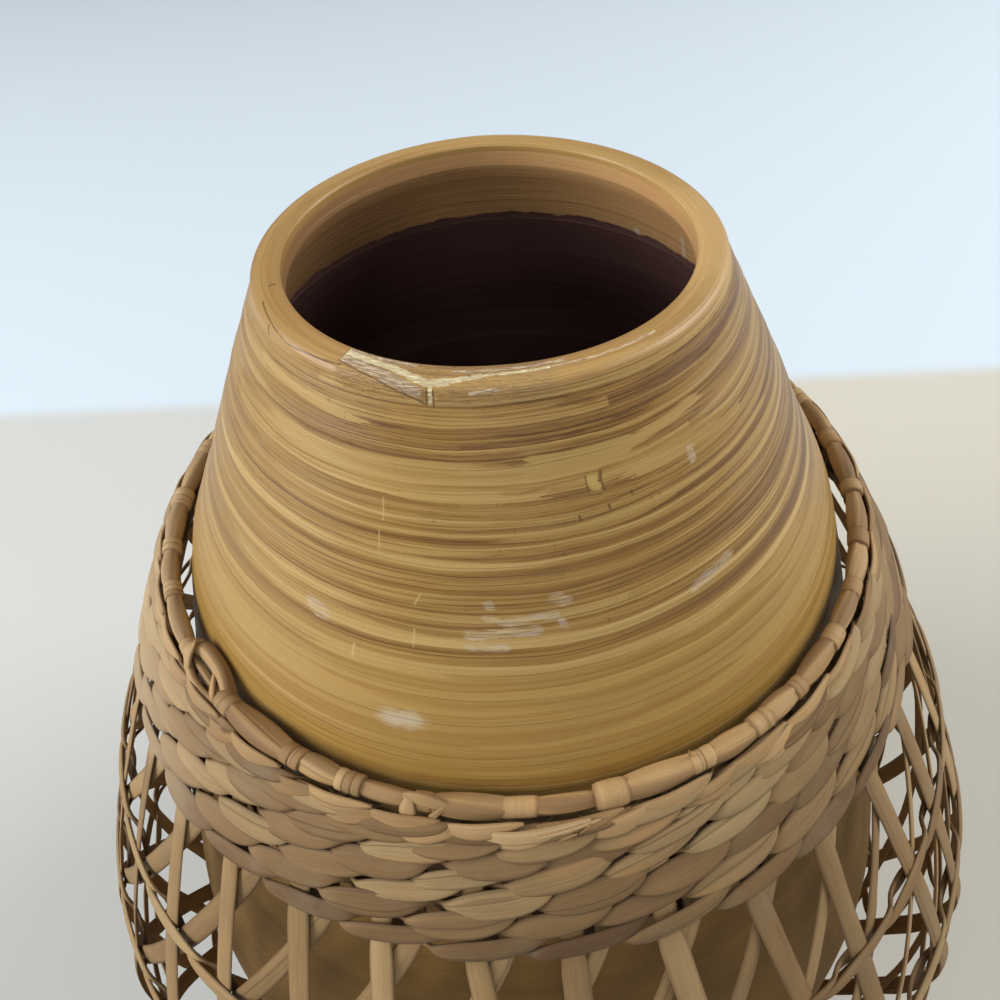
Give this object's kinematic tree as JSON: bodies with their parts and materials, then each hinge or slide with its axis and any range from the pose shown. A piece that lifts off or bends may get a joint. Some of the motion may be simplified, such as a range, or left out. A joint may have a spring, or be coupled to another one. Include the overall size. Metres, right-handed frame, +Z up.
{
  "type": "basket-sleeved bamboo vase",
  "caption": "Hollow spun bamboo vase with a round mouth and a dark lacquered inside, standing in a hand-woven basket sleeve with openwork over its lower part.",
  "frame": {"origin": "centre of the underside, on the surface that the vase stands on", "axes": "+Z up along the vase's axis, out of its mouth; -Y towards the side that the picture shows; +X to the right of that side"},
  "size_m": [0.3245, 0.3246, 0.38],
  "materials": {
    "bamboo": "clear satin varnish over wound bamboo strip",
    "floor": "sealed coiled bamboo strip",
    "lacquer": "dark brown lacquer, satin",
    "border_strand": "dry natural plant fibre, matt",
    "weaver_strand": "dry natural plant fibre, matt",
    "stake_strand": "dry natural plant fibre, matt"
  },
  "bodies": {
    "root": {"bamboo_shell": "bamboo", "floor_disc": "floor", "lacquer_lining": "lacquer", "top_border_core": "border_strand", "top_border_wraps": "border_strand", "upper_weaver_row_1": "weaver_strand", "upper_weaver_row_2": "weaver_strand", "upper_weaver_row_3": "weaver_strand", "upper_weaver_row_4": "weaver_strand", "upper_weaver_row_5": "weaver_strand", "upper_weaver_row_6": "weaver_strand", "upper_weaver_row_7": "weaver_strand", "front_stakes": "stake_strand", "cross_stakes": "stake_strand", "binder_row_1": "weaver_strand", "binder_row_2": "weaver_strand", "binder_row_3": "weaver_strand", "binder_row_4": "weaver_strand", "lower_weaver_row_1": "weaver_strand", "lower_weaver_row_2": "weaver_strand", "lower_weaver_row_3": "weaver_strand", "lower_weaver_row_4": "weaver_strand", "lower_weaver_row_5": "weaver_strand", "lower_weaver_row_6": "weaver_strand", "foot_border_core": "border_strand", "foot_border_wraps": "border_strand"}
  },
  "joints": []
}
